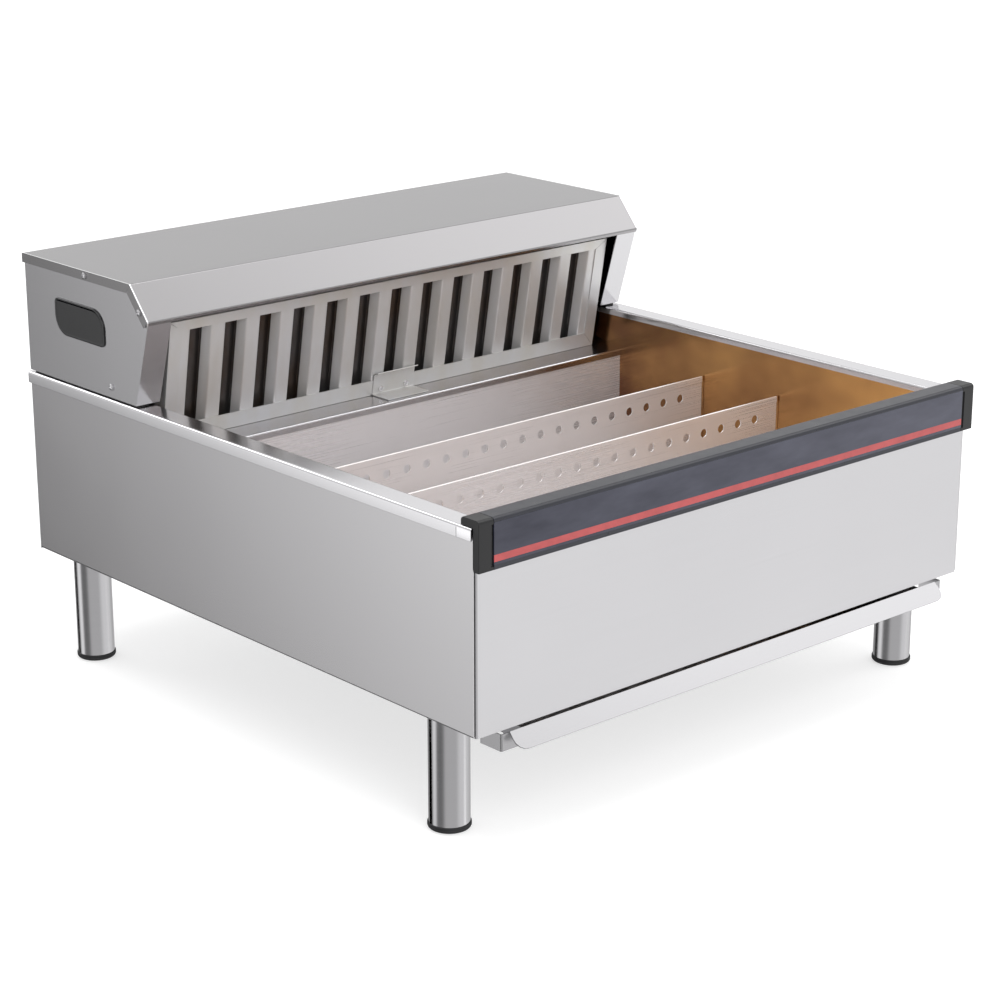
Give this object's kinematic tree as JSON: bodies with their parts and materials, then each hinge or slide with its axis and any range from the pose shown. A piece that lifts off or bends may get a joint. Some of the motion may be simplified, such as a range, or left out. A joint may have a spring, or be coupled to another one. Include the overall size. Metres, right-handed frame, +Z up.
{
  "type": "chip warmer",
  "caption": "Counter-top chip warmer: open food well with lift-out dividers, filter hood along its rear, blown warm air and a pull-out crumb tray, on short legs.",
  "frame": {"origin": "middle of the bounding box's base, on the counter under the feet", "axes": "+Z up; +X to the right seen from the front; +Y from the front (crumb tray) to the back (hood)"},
  "size_m": [0.7198, 0.7812, 0.46],
  "materials": {
    "stainless": "brushed",
    "galvanised": "dull galvanised",
    "slate_trim": "satin",
    "black_plastic": "satin",
    "black_rubber": "matte",
    "red_plastic": "gloss",
    "motor_paint": "satin",
    "thermostat_case": "matte",
    "element_sheath": "dull"
  },
  "bodies": {
    "cabinet": {"left_side_panel": "stainless", "right_side_panel": "stainless", "front_panel": "stainless", "back_panel": "galvanised", "base_pan": "galvanised", "corner_posts": "galvanised", "left_rail_cap": "stainless", "right_rail_cap": "stainless", "well_left_wall": "stainless", "well_right_wall": "stainless", "well_front_wall": "stainless", "well_rear_wall": "stainless", "rear_ledge": "stainless", "hood_left_side": "stainless", "hood_right_side": "stainless", "hood_cover": "stainless", "hood_back": "galvanised", "hood_gaskets": "black_rubber", "hood_screws": "stainless", "trim_extrusion": "slate_trim", "trim_left_block": "black_plastic", "trim_right_block": "black_plastic", "label_insert": "slate_trim", "red_stripe": "red_plastic", "side_plaque": "black_plastic", "leg_front_left": "stainless", "leg_front_right": "stainless", "leg_rear_left": "stainless", "leg_rear_right": "stainless", "foot_front_left": "black_rubber", "foot_front_right": "black_rubber", "foot_rear_left": "black_rubber", "foot_rear_right": "black_rubber", "leg_plates": "galvanised", "tray_runners": "galvanised", "blower_housing": "galvanised", "blower_motor": "motor_paint", "motor_bracket": "galvanised", "air_duct": "galvanised", "heating_element": "element_sheath", "element_brackets": "galvanised", "control_plate": "stainless", "rocker_bezel": "black_plastic", "thermostat": "thermostat_case", "terminal_block": "black_plastic", "cable_inlet": "black_plastic", "rear_screws": "stainless"},
    "crumb_tray": {"crumb_tray": "stainless"},
    "filter": {"filter_frame": "stainless", "filter_front_baffles": "stainless", "filter_rear_baffles": "galvanised", "filter_clip": "stainless", "filter_clip_screws": "stainless"},
    "rack": {"food_rack": "stainless"},
    "rear_divider": {"rear_divider": "stainless"},
    "front_divider": {"front_divider": "stainless"},
    "blower_wheel": {"blower_wheel": "galvanised"},
    "rocker": {"power_rocker": "red_plastic"},
    "knob": {"thermostat_knob": "black_plastic"}
  },
  "joints": [
    {"name": "crumb_tray_slide", "type": "slide", "parent": "cabinet", "child": "crumb_tray", "axis": [0, -1, 0], "range_m": [0, 0.53]},
    {"name": "filter_pull", "type": "slide", "parent": "cabinet", "child": "filter", "axis": [0, -1, 0], "range_m": [0, 0.25]},
    {"name": "rack_lift", "type": "slide", "parent": "cabinet", "child": "rack", "axis": [0, 0, 1], "range_m": [0, 0.095]},
    {"name": "rear_divider_lift", "type": "slide", "parent": "rack", "child": "rear_divider", "axis": [0, 0, 1], "range_m": [0, 0.18]},
    {"name": "front_divider_lift", "type": "slide", "parent": "rack", "child": "front_divider", "axis": [0, 0, 1], "range_m": [0, 0.18]},
    {"name": "blower_spin", "type": "hinge", "parent": "cabinet", "child": "blower_wheel", "pos_m": [-0.06, 0.27039, 0.2124], "axis": [1, 0, 0], "continuous": true},
    {"name": "rocker_tilt", "type": "hinge", "parent": "cabinet", "child": "rocker", "pos_m": [0.197, 0.3726, 0.21], "axis": [1, 0, 0], "range_deg": [0, 16]},
    {"name": "thermostat_turn", "type": "hinge", "parent": "cabinet", "child": "knob", "pos_m": [0.269, 0.3756, 0.21], "axis": [0, 1, 0], "range_deg": [0, 270]}
  ]
}
